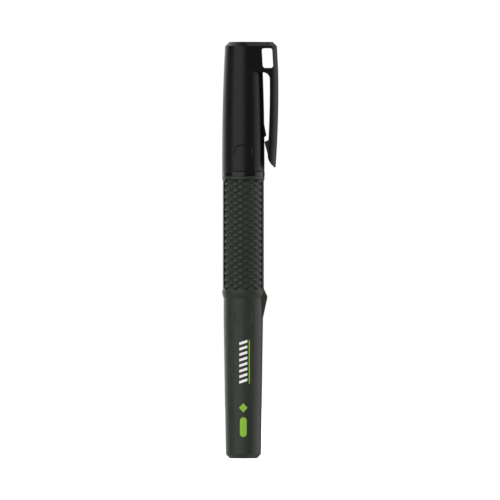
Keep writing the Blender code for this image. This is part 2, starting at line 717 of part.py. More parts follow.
olive = plastic("olive_barrel", (0.035, 0.039, 0.031), 0.42)
soft_olive = plastic("olive_grip", (0.033, 0.037, 0.029), 0.55)
gloss_black = plastic("gloss_black", (0.006, 0.006, 0.006), 0.12)
satin_black = plastic("satin_black", (0.007, 0.007, 0.007), 0.3)
felt_black = plastic("felt_black", (0.008, 0.008, 0.009), 0.9)
ink_fibre = plastic("inked_fibre", (0.012, 0.012, 0.015), 0.95)
clear_film = plastic("reservoir_film", (0.35, 0.36, 0.38), 0.25)
liner_grey = plastic("liner_grey", (0.03, 0.03, 0.03), 0.45)

settle(make_barrel(), olive)
barrel = bpy.data.objects["barrel"]
settle(diamond_inlay("grip_inlay_front", -1), soft_olive, parent=barrel)
settle(diamond_inlay("grip_inlay_back", 1), soft_olive, parent=barrel)
settle(make_nozzle(), gloss_black, parent=barrel)
settle(make_nib(), felt_black, parent=barrel)
settle(make_reservoir(), ink_fibre, parent=barrel)
settle(make_film(), clear_film, parent=barrel)
settle(make_inner_cap(), liner_grey, (0, 0, RIM_Z), barrel)
settle(make_cap_shell(), satin_black, (0, 0, RIM_Z), bpy.data.objects["inner_cap"])
settle(make_clip(), satin_black, CLIP_HINGE, bpy.data.objects["cap_shell"])
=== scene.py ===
# Looks of a capped permanent marker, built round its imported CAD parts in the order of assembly.
from math import acos, asin, cos, hypot, pi, radians, sin, sqrt, tan

import bmesh
import bpy
from mathutils import Matrix, Vector


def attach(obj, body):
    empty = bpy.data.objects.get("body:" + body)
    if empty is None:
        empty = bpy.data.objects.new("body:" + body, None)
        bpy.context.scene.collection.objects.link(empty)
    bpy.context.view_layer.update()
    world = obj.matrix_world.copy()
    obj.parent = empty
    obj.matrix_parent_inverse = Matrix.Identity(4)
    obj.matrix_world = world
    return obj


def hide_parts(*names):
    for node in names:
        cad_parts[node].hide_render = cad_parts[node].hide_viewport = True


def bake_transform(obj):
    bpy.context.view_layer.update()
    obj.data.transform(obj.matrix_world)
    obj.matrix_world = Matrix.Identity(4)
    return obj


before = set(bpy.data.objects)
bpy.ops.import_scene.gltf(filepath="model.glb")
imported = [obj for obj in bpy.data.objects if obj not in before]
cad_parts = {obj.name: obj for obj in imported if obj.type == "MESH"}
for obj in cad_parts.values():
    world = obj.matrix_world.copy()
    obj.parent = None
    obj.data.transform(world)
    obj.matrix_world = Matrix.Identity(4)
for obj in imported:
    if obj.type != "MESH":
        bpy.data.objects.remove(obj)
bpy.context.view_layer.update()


# Barrel: a satin moulding in dark olive polypropylene, closed at the rear, with a rib in line with the clip.
# Its grip has a recess at front and back for the soft inlays; the recess walls and floor get a near-black
# painted shade.
# Sizes in this script are millimetres, and each mesh is brought to metres as it is made.
MILLIMETRE = 0.001
BODY_RADIUS = 7.13
TAPER_RADIUS = 6.625
REAR_RADIUS = 5.94
REAR_CHAMFER = 1.3
REAR_WALL = 1.8
TAPER_Z = 46.5
FLARE_Z = 53.82
FLARE_BULGE = 0.055        # how far the flare stands out at its middle
COLLAR_Z = 55.38
COLLAR_END_Z = 56.4
GRIP_RADIUS = 6.905
GRIP_Z = 56.75
GRIP_END_Z = 93.4
FRONT_COLLAR_Z = 93.8
BARREL_END_Z = 94.78
MOUTH_RADIUS = 5.13
MOUTH_Z = 85.4
MOUTH_SLOPE = 0.3
BORE_RADIUS = 4.83

SCOOP_WIDTH = 6.1
SCOOP_SPLAY = 0.03         # how far each side moves out per millimetre of length
SCOOP_CORNER = 2.1
SCOOP_Z = 45.0
SCOOP_LENGTH = 7.6
SCOOP_DEPTH = 0.43
SCOOP_EDGE = 0.42          # width of the slope round a scoop
SCOOP_ROW = 0.12           # spacing of points along a scoop
SCOOP_BEFORE = 1.0         # how far those points go on past a scoop's ends
SCOOP_AFTER = 0.5
SCOOP_SIDES = (90, 270)    # degrees from the clip to the scoops
FINE_STEP = 0.9            # degrees between points across a scoop
FINE_COUNT = 35
FINE_REACH = 34            # degrees from a scoop's middle to where the wider spacing begins
COARSE_STEP = 4

RIB_WIDTH = 3.4
RIB_EDGE = 0.25
RIB_OUTLINE = ((5.3, 46.9, 0), (6.62, 47.0, 0.2), (8.17, 54.35, 0.8), (6.9, 57.1, 0.2), (5.3, 57.1, 0))
RECESS_RADIUS = 5.83
RECESS_END_Z = 93.72       # leaves an open line above an inlay
RECESS_STEPS = 4
INLAY_EDGES = (radians(-73), radians(68.5))   # sides of an inlay, from the middle of its face
INLAY_Z = 56.55
DIAMOND_ANGLE = radians(16.4)
DIAMOND_COLUMNS = 8
DIAMOND_PITCH = 2.151
PAINTED_SHADE_RADII = (BORE_RADIUS + 0.5, GRIP_RADIUS - 0.15)   # between them the recess gets the near-black painted shade
PAINTED_SHADE_MARGIN = 0.1

EASE_STEPS = 4
EASE_REACH = 0.45          # largest share of a side that a rounding takes up
HOLD = 0.1                 # how far a side stays flat beside a rounding
HOLD_SHARE = 0.04          # and its largest share of the side
SLAB_EDGE = ((1, 1), (0.8, 0.55), (0.4, 0.15), (0, 0))   # shares of an edge: outwards, drawn in
MERGE = 1e-4
SHARP_ANGLE = radians(38)
FULL_RUB_TURN = radians(14)
OUTSIDE = 9.0              # a radius clear of every outer surface

NOISE_RANGE = (0.3, 0.7)   # where nearly all values of a noise lie
FLOW_STRETCH = (1, 1, 0.05)
FLOW_TONES = (0.9, 1.1)
CLOUD_TONES = (-0.06, 0.06)
CLOUD_SHARE = 0.7          # of the uneven sheen, the rest being grain
WORN_BRIGHTNESS = 1.7
WORN_SHARE = 0.6
WORN_POLISH = 0.08         # how much smoother a fully rubbed edge is


def eased(path):
    """Round the corners of a path of (across, along, rounding), keeping the stretches between them flat."""
    corners = [Vector(point[:2]) for point in path]
    points = [corners[0]]
    for index in range(1, len(path) - 1):
        here = corners[index]
        rounding = path[index][2]
        if not rounding:
            points.append(here)
            continue
        back = corners[index - 1] - here
        ahead = corners[index + 1] - here
        most = EASE_REACH * min(back.length, ahead.length)
        reach = min(rounding / tan(back.angle(ahead) / 2), most)
        start = here + back.normalized() * reach
        end = here + ahead.normalized() * reach
        points.append(start + back.normalized() * min(HOLD, HOLD_SHARE * back.length))
        for step in range(EASE_STEPS + 1):
            share = step / EASE_STEPS
            points.append(start.lerp(here, share).lerp(here.lerp(end, share), share))
        points.append(end + ahead.normalized() * min(HOLD, HOLD_SHARE * ahead.length))
    return [tuple(point) for point in points + [corners[-1]]]


def piece_from(name, builder):
    """Turn a finished bmesh in millimetres into an object in metres."""
    bmesh.ops.remove_doubles(builder, verts=builder.verts, dist=MERGE)
    bmesh.ops.recalc_face_normals(builder, faces=builder.faces)
    mesh = bpy.data.meshes.new(name)
    builder.to_mesh(mesh)
    builder.free()
    mesh.transform(Matrix.Scale(MILLIMETRE, 4))
    made = bpy.data.objects.new(name, mesh)
    bpy.context.scene.collection.objects.link(made)
    return made


def skinned(name, rings):
    """Skin a stack of rings with equal point counts, and close its ends unless they meet."""
    builder = bmesh.new()
    loops = [[builder.verts.new(point) for point in ring] for ring in rings]
    for lower, upper in zip(loops, loops[1:]):
        for index, corner in enumerate(lower):
            ahead = (index + 1) % len(lower)
            builder.faces.new((corner, lower[ahead], upper[ahead], upper[index]))
    for ring, loop in ((rings[0], loops[0][::-1]), (rings[-1], loops[-1])):
        if rings[0] != rings[-1] and Vector(ring[0]) != Vector(ring[1]):
            builder.faces.new(loop)
    return piece_from(name, builder)


def joined(piece, tool, operation):
    """Join a tool to a piece, or cut it out, and keep the mesh that results."""
    boolean = piece.modifiers.new("joined", "BOOLEAN")
    boolean.operation = operation
    boolean.solver = "EXACT"
    boolean.object = tool
    bpy.context.view_layer.update()
    mesh = bpy.data.meshes.new_from_object(piece.evaluated_get(bpy.context.evaluated_depsgraph_get()))
    piece.modifiers.clear()
    piece.data = mesh
    bpy.data.objects.remove(tool)


def finished(piece, material):
    """Shade a piece, give it its material and store where its raised edges get rubbed."""
    builder = bmesh.new()
    builder.from_mesh(piece.data)
    rub = builder.verts.layers.float.new("rub")
    for point in builder.verts:
        turns = [edge.calc_face_angle_signed(0) for edge in point.link_edges if edge.is_manifold]
        point[rub] = min(1.0, max(0.0, max(turns, default=0.0)) / FULL_RUB_TURN)
    builder.to_mesh(piece.data)
    builder.free()
    piece.data.shade_smooth()
    piece.data.set_sharp_from_angle(angle=SHARP_ANGLE)
    piece.data.materials.clear()
    piece.data.materials.append(material)


def scoop_dent(along, across, depth, length, width, splay, corner):
    """Depth of a thumb scoop: a soft step round its rounded end, running out to nothing at its foot."""
    along = max(0.0, along)
    from_side = width / 2 + splay * along - abs(across)
    inside = min(along, from_side)
    if along < corner and from_side < corner:
        inside = corner - hypot(corner - along, corner - from_side)
    step = min(1.0, max(0.0, inside / SCOOP_EDGE))
    return depth * step * step * (3 - 2 * step) * max(0.0, 1 - along / length)


def columns_round():
    """Angles round the marker from the clip, close together across the scoops at front and back."""
    steps = range(-FINE_COUNT, FINE_COUNT + 1)
    fine = [side + FINE_STEP * step for side in SCOOP_SIDES for step in steps]
    coarse = []
    for angle in range(0, 360, COARSE_STEP):
        if min(abs(angle - side) for side in SCOOP_SIDES) > FINE_REACH:
            coarse.append(angle)
    return [radians(angle) for angle in sorted(fine + coarse)]


def turned(outline, columns, dent=None):
    """Rings of an outline of (radius, height) points turned about the axis, with an optional dent."""
    rings = []
    for radius, z in outline:
        ring = []
        for angle in columns:
            depth = dent(radius * cos(angle), z) if dent else 0.0
            ring.append(((radius - depth) * cos(angle), (radius - depth) * sin(angle), z))
        rings.append(ring)
    return rings


def slab(name, outline, half_width, edge):
    """Outline of (x, z) points given a width along Y, with its outer edges rounded off."""
    inner_x = min(x for x, z in outline)
    rings = []
    for outwards, drawn_in in SLAB_EDGE:
        y = half_width - edge * (1 - outwards)
        rings.append([(x - edge * drawn_in * (x > inner_x), y, z) for x, z in outline])
    return skinned(name, [[(x, -y, z) for x, y, z in ring] for ring in rings] + rings[::-1])


def panel_columns():
    """Angles of the crossing grooves over one grip inlay, from edge to edge."""
    first = 0.5 - DIAMOND_COLUMNS / 2
    inner = [(first + step) * DIAMOND_ANGLE for step in range(DIAMOND_COLUMNS)]
    return [INLAY_EDGES[0], *inner, INLAY_EDGES[1]]


def on_side(radius, angle, z, side):
    """A point at an angle from the middle of the front (side -1) or of the back (side 1)."""
    return Vector((-side * radius * sin(angle), side * radius * cos(angle), z))


def body_radius(z):
    """Outside of the tapered body."""
    share = min(1.0, (z - REAR_CHAMFER) / (TAPER_Z - REAR_CHAMFER))
    return REAR_RADIUS + (TAPER_RADIUS - REAR_RADIUS) * share


def barrel_dent(x, z):
    """Scoops on the barrel."""
    return scoop_dent(z - SCOOP_Z, x, SCOOP_DEPTH, SCOOP_LENGTH, SCOOP_WIDTH, SCOOP_SPLAY, SCOOP_CORNER)


def recess(side):
    """Cutter for the recess that a grip inlay fills, with two of its corners cut off."""
    columns = panel_columns()
    rings = []
    for first, second in zip(columns, columns[1:]):
        for step in range(RECESS_STEPS + 1):
            angle = first + (second - first) * (step / RECESS_STEPS)
            cut = DIAMOND_PITCH / 2 * max(0.0, (columns[1] - angle) / (columns[1] - columns[0]))
            low, high = INLAY_Z + cut, RECESS_END_Z - cut
            corners = ((RECESS_RADIUS, low), (OUTSIDE, low), (OUTSIDE, high), (RECESS_RADIUS, high))
            rings.append([on_side(radius, angle, z, side) for radius, z in corners])
    return skinned("recess", rings)


scoop_count = int((SCOOP_BEFORE + SCOOP_LENGTH + SCOOP_AFTER) / SCOOP_ROW)
scoop_rows = [SCOOP_Z - SCOOP_BEFORE + SCOOP_ROW * step for step in range(scoop_count)]
barrel_outline = eased([
    (0, 0, 0),
    (REAR_RADIUS - REAR_CHAMFER, 0, 0.2),
    (REAR_RADIUS, REAR_CHAMFER, 0.35),
    *[(body_radius(z), z, 0) for z in scoop_rows],
    (TAPER_RADIUS, FLARE_Z, 0.3),
    ((TAPER_RADIUS + BODY_RADIUS) / 2 + FLARE_BULGE, (FLARE_Z + COLLAR_Z) / 2, 1.0),
    (BODY_RADIUS, COLLAR_Z, 0.25),
    (BODY_RADIUS, COLLAR_END_Z, 0.15),
    (GRIP_RADIUS, GRIP_Z, 0.08),
    (GRIP_RADIUS, GRIP_END_Z, 0.08),
    (BODY_RADIUS, FRONT_COLLAR_Z, 0.12),
    (BODY_RADIUS, BARREL_END_Z, 0.1),
    (MOUTH_RADIUS, BARREL_END_Z, 0.1),
    (MOUTH_RADIUS, MOUTH_Z, 0.1),
    (BORE_RADIUS, MOUTH_Z - MOUTH_SLOPE, 0.1),
    (BORE_RADIUS, REAR_WALL, 0.4),
    (0, REAR_WALL, 0),
])
barrel_rings = []
for radius, z in barrel_outline:
    by_scoop = radius > MOUTH_RADIUS and SCOOP_Z - SCOOP_BEFORE < z < FLARE_Z
    barrel_rings += turned([(radius, z)], columns_round(), barrel_dent if by_scoop else None)
barrel = skinned("olive_barrel", barrel_rings)
joined(barrel, slab("rib", eased(RIB_OUTLINE), RIB_WIDTH / 2, RIB_EDGE), "UNION")
for side in (-1, 1):
    joined(barrel, recess(side), "DIFFERENCE")


def add_node(tree, kind, values=(), **settings):
    """Add a shader node, giving each named input a constant or another node's output."""
    made = tree.nodes.new(kind)
    for key, value in settings.items():
        setattr(made, key, value)
    for key, value in dict(values).items():
        if isinstance(value, bpy.types.NodeSocket):
            tree.links.new(value, made.inputs[key])
        else:
            made.inputs[key].default_value = value
    return made


def new_group(name, inputs, outputs):
    """Start a shader node group from the names and kinds of its sockets."""
    group = bpy.data.node_groups.new(name, "ShaderNodeTree")
    for in_out, sockets in (("INPUT", inputs), ("OUTPUT", outputs)):
        for label, kind in sockets.items():
            group.interface.new_socket(name=label, in_out=in_out, socket_type="NodeSocket" + kind)
    return group, group.nodes.new("NodeGroupInput"), group.nodes.new("NodeGroupOutput")


def mixed(tree, share, first, second):
    """Colour between two others."""
    return add_node(tree, "ShaderNodeMix", {0: share, 6: first, 7: second}, data_type="RGBA").outputs[2]


def calculated(tree, operation, first, second=0.0):
    """Result of one sum on values."""
    return add_node(tree, "ShaderNodeMath", {0: first, 1: second}, operation=operation).outputs[0]


def scaled(tree, vector, factor):
    """A place or a colour times a factor."""
    values = {0: vector, "Scale": factor}
    return add_node(tree, "ShaderNodeVectorMath", values, operation="SCALE").outputs[0]


def spread(tree, value, low, high, new_low, new_high):
    """A value's range stretched on to another, and cut off at its ends."""
    limits = {"Value": value, "From Min": low, "From Max": high, "To Min": new_low, "To Max": new_high}
    return add_node(tree, "ShaderNodeMapRange", limits).outputs[0]


def noise(tree, place, cells, detail=3.0, stretch=(1, 1, 1)):
    """Noise in cells per millimetre."""
    stretched = add_node(tree, "ShaderNodeMapping", {"Vector": place, "Scale": stretch}).outputs[0]
    values = {"Vector": stretched, "Scale": cells, "Detail": detail}
    return add_node(tree, "ShaderNodeTexNoise", values).outputs[0]


def place_in_millimetres(tree):
    """Place on the object, in millimetres."""
    return scaled(tree, add_node(tree, "ShaderNodeTexCoord").outputs["Object"], 1 / MILLIMETRE)


def mould_finish_group():
    """Moulded plastic: eroded grain, faint flow streaks, uneven sheen and edges polished by handling."""
    group, given, result = new_group(
        "mould_finish",
        {"Colour": "Color", "Grain": "Float", "Smooth": "Float", "Rough": "Float", "Polish": "Float"},
        {"Colour": "Color", "Roughness": "Float", "Height": "Float"},
    )
    place = place_in_millimetres(group)
    grain = noise(group, place, given.outputs["Grain"])
    cloud = noise(group, place, cells=0.3, detail=4.0)
    streak = noise(group, place, cells=1.3, stretch=FLOW_STRETCH)
    speckle = noise(group, place, cells=2.2, detail=2.0)
    rub = add_node(group, "ShaderNodeAttribute", attribute_name="rub").outputs["Fac"]
    patchy_rub = calculated(group, "MULTIPLY", rub, spread(group, speckle, 0.35, 0.6, 0.25, 1))
    worn = calculated(group, "MULTIPLY", patchy_rub, given.outputs["Polish"])
    flow_tone = spread(group, streak, *NOISE_RANGE, *FLOW_TONES)
    cloud_tone = spread(group, cloud, *NOISE_RANGE, *CLOUD_TONES)
    toned = scaled(group, given.outputs["Colour"], calculated(group, "ADD", flow_tone, cloud_tone))
    pale = scaled(group, given.outputs["Colour"], WORN_BRIGHTNESS)
    colour = mixed(group, calculated(group, "MULTIPLY", worn, WORN_SHARE), toned, pale)
    cloud_part = calculated(group, "MULTIPLY", cloud, CLOUD_SHARE)
    grain_part = calculated(group, "MULTIPLY", grain, 1 - CLOUD_SHARE)
    uneven = calculated(group, "ADD", cloud_part, grain_part)
    sheen = spread(group, uneven, *NOISE_RANGE, given.outputs["Smooth"], given.outputs["Rough"])
    rough = calculated(group, "SUBTRACT", sheen, calculated(group, "MULTIPLY", worn, WORN_POLISH))
    group.links.new(colour, result.inputs["Colour"])
    group.links.new(rough, result.inputs["Roughness"])
    group.links.new(grain, result.inputs["Height"])
    return group


mould_finish = mould_finish_group()


def moulded(name, colour, grain, smooth, rough, gloss, polish, relief):
    """Material of one moulded plastic, with grain in cells per millimetre and relief in millimetres."""
    material = bpy.data.materials.new(name)
    material.use_nodes = True
    tree = material.node_tree
    shader = tree.nodes["Principled BSDF"]
    shader.inputs["Specular IOR Level"].default_value = gloss
    finish = add_node(tree, "ShaderNodeGroup", node_tree=mould_finish)
    values = {"Colour": (*colour, 1), "Grain": grain, "Smooth": smooth, "Rough": rough, "Polish": polish}
    for label, value in values.items():
        finish.inputs[label].default_value = value
    height = {"Height": finish.outputs["Height"], "Distance": relief * MILLIMETRE}
    tree.links.new(finish.outputs["Colour"], shader.inputs["Base Color"])
    tree.links.new(finish.outputs["Roughness"], shader.inputs["Roughness"])
    tree.links.new(add_node(tree, "ShaderNodeBump", height).outputs[0], shader.inputs["Normal"])
    return material


olive_plastic = moulded(
    "olive_plastic", (0.0475, 0.0575, 0.0425),
    grain=7.0, smooth=0.32, rough=0.42, gloss=0.335, polish=0.5, relief=0.006,
)
# Near-black painted shade for the recess walls and floor, standing in for the shadow in the notches beside
# the inlays.
recess_painted_shade = moulded(
    "recess_painted_shade", (0.007, 0.007, 0.007),
    grain=5.0, smooth=0.5, rough=0.7, gloss=0.2, polish=0.0, relief=0.004,
)
finished(barrel, olive_plastic)
barrel.data.materials.append(recess_painted_shade)
# Faces of the recess walls and floor take the painted shade.
for face in barrel.data.polygons:
    middle = face.center / MILLIMETRE
    in_recess = INLAY_Z - PAINTED_SHADE_MARGIN < middle.z < RECESS_END_Z + PAINTED_SHADE_MARGIN
    face.material_index = int(in_recess and PAINTED_SHADE_RADII[0] < middle.xy.length < PAINTED_SHADE_RADII[1])
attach(barrel, "marker")
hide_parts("barrel")


# Grip inlays: one soft panel at front and back, moulded into the barrel's recesses in the same olive.
# Flat-topped diamonds cover it between crossing grooves, with low half-diamonds along its sides.
# The recess shows in the notches beside them, painted near-black as painted shade, and a narrow open line
# runs above the panel.
INLAY_BACK_RADIUS = 5.98
INLAY_END_Z = 93.58
LIP_RADIUS = 6.64          # bottom of the open line above an inlay
GROOVE_RADIUS = 6.57
DIAMOND_END_Z = 93.25      # middle of the diamonds that the top edge cuts
POINT_LIFTS = dict(zip(INLAY_EDGES, (0.18, 0.32)))   # height of the outermost diamonds' points
# Rings up a diamond, each by its share of the full width and its height over the groove
DIAMOND_RINGS = ((0.95, 0.05), (0.46, 0.28), (0.41, 0.305), (0.35, 0.31))
HALF_DIAMOND_RINGS = ((0.90, -0.5), (0.55, -0.5), (0.25, 0.22))
TOP_DROP = 0.2             # how far the flat tops sit below the middle of their diamonds
CORNERS = ((1, 0), (0, 1), (-1, 0), (0, -1))
SORTING = Vector((0.37, 0.11, 1))   # a direction along which no two faces of a panel are level


def thickened(builder, inner_radius):
    """Give a curved sheet a back at another radius, and walls round its edge."""
    extruded = bmesh.ops.extrude_face_region(builder, geom=builder.faces[:])["geom"]
    for point in (element for element in extruded if isinstance(element, bmesh.types.BMVert)):
        point.co.xy = point.co.xy.normalized() * inner_radius(point.co.z)
    # The walls come out in any order, so all faces are put in one that stays the same
    builder.faces.sort(key=lambda face: face.calc_center_median().dot(SORTING))


def raise_diamond(builder, foot, columns, rows, column, row, side):
    """Build one diamond up from its corners in the grooves, or half of one at a side edge."""
    middle = columns[column]
    halved = middle in INLAY_EDGES
    corners = [corner for corner in CORNERS if 0 <= column + corner[0] < len(columns)]
    lower = {(across, down): foot[column + across, row + down] for across, down in corners}
    for share, height in HALF_DIAMOND_RINGS if halved else DIAMOND_RINGS:
        upper = {}
        for across, down in corners:
            towards = columns[column + across]
            angle = middle + (towards - middle) * share
            z = rows[row] + (rows[row + down] - rows[row]) * share - TOP_DROP * (1 - share)
            lift = height if halved else max(height, POINT_LIFTS.get(towards, 0.0))
            upper[across, down] = builder.verts.new(on_side(GROOVE_RADIUS + lift, angle, z, side))
        for first, second in zip(CORNERS, CORNERS[1:] + CORNERS[:1]):
            if first in lower and second in lower:
                builder.faces.new((lower[first], lower[second], upper[second], upper[first]))
        lower = upper
    builder.faces.new(lower.values())


def divided(builder, z, cleared):
    """Divide a mesh at a height, and clear what lies above it (1), below it (-1) or nothing (0)."""
    everything = builder.verts[:] + builder.edges[:] + builder.faces[:]
    level = {"plane_co": (0, 0, z), "plane_no": (0, 0, cleared or 1)}
    bmesh.ops.bisect_plane(builder, geom=everything, clear_outer=cleared != 0, **level)


def grip_inlay(name, side):
    """Curved panel of flat-topped diamonds, cut straight across its ends, with a low lip at the top."""
    columns = panel_columns()
    count = round((INLAY_END_Z - INLAY_Z) / DIAMOND_PITCH * 2)
    rows = [DIAMOND_END_Z - DIAMOND_PITCH / 2 * step for step in range(-1, count + 2)]
    builder = bmesh.new()
    foot = {}
    for column, angle in enumerate(columns):
        for row, z in enumerate(rows):
            radius = GROOVE_RADIUS + POINT_LIFTS.get(angle, 0.0)
            foot[column, row] = builder.verts.new(on_side(radius, angle, z, side))
    for column, angle in enumerate(columns):
        for row in range(1 + column % 2, len(rows) - 1, 2):
            from_end = min(rows[row] - INLAY_Z, INLAY_END_Z - rows[row])
            if angle not in INLAY_EDGES or from_end >= DIAMOND_PITCH / 2:
                raise_diamond(builder, foot, columns, rows, column, row, side)
    divided(builder, INLAY_Z, -1)
    divided(builder, RECESS_END_Z, 1)
    divided(builder, INLAY_END_Z, 0)
    unused = [point for point in builder.verts if not point.link_faces]
    bmesh.ops.delete(builder, geom=unused, context="VERTS")
    for point in builder.verts:
        if point.co.z > INLAY_END_Z + MERGE:
            point.co.xy = point.co.xy.normalized() * LIP_RADIUS
    thickened(builder, lambda z: INLAY_BACK_RADIUS)
    return piece_from(name, builder)


soft_olive = moulded(
    "soft_olive", (0.0405, 0.0495, 0.0366),
    grain=11.0, smooth=0.33, rough=0.42, gloss=0.36, polish=0.5, relief=0.008,
)
for label, side in (("front", -1), ("back", 1)):
    inlay = grip_inlay(f"grip_{label}", side)
    finished(inlay, soft_olive)
    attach(inlay, "marker")
    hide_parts(f"grip_inlay_{label}")


# Print: two passes of pad-printed ink on the front of the barrel, in a plain pattern.
# White slanted dashes run along a thin green line, with a green diamond and a bar below them.
PRINT_PROUD = 0.015
PRINT_SINK = 0.03
PRINT_ACROSS = 8
PRINT_POINT = 0.02         # least half width, so that a tip keeps its faces
DASH_WIDTH = 2.7
DASH_HEIGHT = 0.85
DASH_RISE = 0.9
DASH_PITCH = 1.85
DASH_COUNT = 8
DASH_Z = 26.0
LINE_X = 2.05
LINE_WIDTH = 0.38
BAR_WIDTH = 2.3
BAR_Z = 7.2
BAR_END_Z = 13.8
ROUND_END_STEPS = 6
PRINT_DIAMOND_Z = 17.0
PRINT_DIAMOND_WIDTH = 2.9
PRINT_DIAMOND_HEIGHT = 3.1
THIN_INK_SHADE = 0.88
PINHOLE_COLOUR = (0.05, 0.06, 0.045)
INK_RELIEF = 0.004


def printed(builder, rows):
    """One printed patch on the barrel's front, from rows of left and right ends as (x, z) points."""
    grid = []
    for left, right in rows:
        line = []
        for step in range(PRINT_ACROSS + 1):
            x, z = Vector(left).lerp(Vector(right), step / PRINT_ACROSS)
            radius = body_radius(z) + PRINT_PROUD
            line.append(builder.verts.new(on_side(radius, x / radius, z, -1)))
        grid.append(line)
    for lower, upper in zip(grid, grid[1:]):
        for index in range(PRINT_ACROSS):
            builder.faces.new((lower[index], lower[index + 1], upper[index + 1], upper[index]))


def print_piece(name, patches):
    """Ink patches of one colour as a thin piece."""
    builder = bmesh.new()
    for rows in patches:
        printed(builder, rows)
    bmesh.ops.remove_doubles(builder, verts=builder.verts, dist=MERGE)
    thickened(builder, lambda z: body_radius(z) - PRINT_SINK)
    return piece_from(name, builder)


def dash(z):
    """Slanted dash."""
    left, right = (-DASH_WIDTH / 2, z - DASH_RISE / 2), (DASH_WIDTH / 2, z + DASH_RISE / 2)
    return [[(x, height + step * DASH_HEIGHT / 2) for x, height in (left, right)] for step in (-1, 0, 1)]


def upright(x, width, low_z, high_z):
    """Upright bar with round ends."""
    half = width / 2
    rows = []
    for centre_z, first in ((low_z + half, -90), (high_z - half, 0)):
        for step in range(ROUND_END_STEPS + 1):
            turn = radians(first + 90 * step / ROUND_END_STEPS)
            reach = max(PRINT_POINT, half * cos(turn))
            z = centre_z + half * sin(turn)
            rows.append(((x - reach, z), (x + reach, z)))
    return rows


def rhombus(middle_z):
    """Diamond standing on its point."""
    rows = []
    for share in (-1, -0.5, 0, 0.5, 1):
        half = max(PRINT_POINT, PRINT_DIAMOND_WIDTH / 2 * (1 - abs(share)))
        z = middle_z + share * PRINT_DIAMOND_HEIGHT / 2
        rows.append(((-half, z), (half, z)))
    return rows


def ink(name, colour, painted_glow):
    """Pad-printed ink: uneven cover, pinholes down to the olive, and a slight painted glow that lifts it
    above what the light gives.
    """
    material = bpy.data.materials.new(name)
    material.use_nodes = True
    tree = material.node_tree
    shader = tree.nodes["Principled BSDF"]
    place = place_in_millimetres(tree)
    thin = noise(tree, place, cells=3.0, detail=4.0)
    pinhole = noise(tree, place, cells=9.0, detail=2.0)
    shade = tuple(THIN_INK_SHADE * channel for channel in colour)
    cover = mixed(tree, spread(tree, thin, 0.35, 0.65, 0, 1), (*colour, 1), (*shade, 1))
    cover = mixed(tree, spread(tree, pinhole, 0.70, 0.76, 0, 1), cover, (*PINHOLE_COLOUR, 1))
    relief = {"Height": thin, "Distance": INK_RELIEF * MILLIMETRE}
    tree.links.new(cover, shader.inputs["Base Color"])
    # The ink's colour also glows, as painted light that makes the print brighter than the lamps make it.
    tree.links.new(cover, shader.inputs["Emission Color"])
    shader.inputs["Emission Strength"].default_value = painted_glow
    tree.links.new(spread(tree, thin, *NOISE_RANGE, 0.34, 0.5), shader.inputs["Roughness"])
    tree.links.new(add_node(tree, "ShaderNodeBump", relief).outputs[0], shader.inputs["Normal"])
    return material


dash_heights = [DASH_Z + DASH_PITCH * step for step in range(DASH_COUNT)]
white_print = print_piece("white_print", [dash(z) for z in dash_heights])
green_print = print_piece("green_print", [
    upright(LINE_X, LINE_WIDTH, dash_heights[0] - DASH_HEIGHT, dash_heights[-1] + DASH_HEIGHT),
    upright(0, BAR_WIDTH, BAR_Z, BAR_END_Z),
    rhombus(PRINT_DIAMOND_Z),
])
# Each ink glows a little as painted light, the white more than the green.
for piece, material in (
    (white_print, ink("white_ink", (0.97, 0.97, 0.96), painted_glow=0.4)),
    (green_print, ink("green_ink", (0.37, 0.76, 0.05), painted_glow=0.12)),
):
    finished(piece, material)
    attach(piece, "marker")


# Nib holder: a round moulding in polished black, pressed into the barrel's mouth up to its ring.
# The ring shows below the cap; above it are the cap's seat with a snap rib, the neck and the stepped nose.
RING_RADIUS = 7.2
RING_Z = 94.8
RING_EASE = 0.1
SEAM_RADIUS = 6.95         # top of the slope that closes the open line below the cap's rim
SEAM_END_Z = 96.48
SEAT_RADIUS = 5.57
SEAT_Z = 96.36
SNAP_Z = 99.5
SNAP_PROUD = 0.08
SNAP_REACH = 0.5
SHOULDER_Z = 102.6
NECK_RADIUS = 3.88
NECK_Z = 104.29
NECK_END_Z = 115.29
NOSE_RADIUS = 2.7
NOSE_Z = 116.65
NOSE_END_Z = 120.85
LIP_HEIGHT = 0.56
LIP_GROOVE = 0.14
LIP_GROOVE_Z = (-0.12, -0.5)   # bottom and lower end of the groove, from the lip
NOSE_DRAFT = 0.02
NIB_CHANNEL_RADIUS = 1.95
NIB_CHANNEL_MIDDLE_Z = 110.0
PLUG_RADIUS = 4.98
PLUG_Z = 85.7
PLUG_BORE_RADIUS = 4.08
ROUND_COUNT = 96
ROUND_COLUMNS = [radians(360 * step / ROUND_COUNT) for step in range(ROUND_COUNT)]

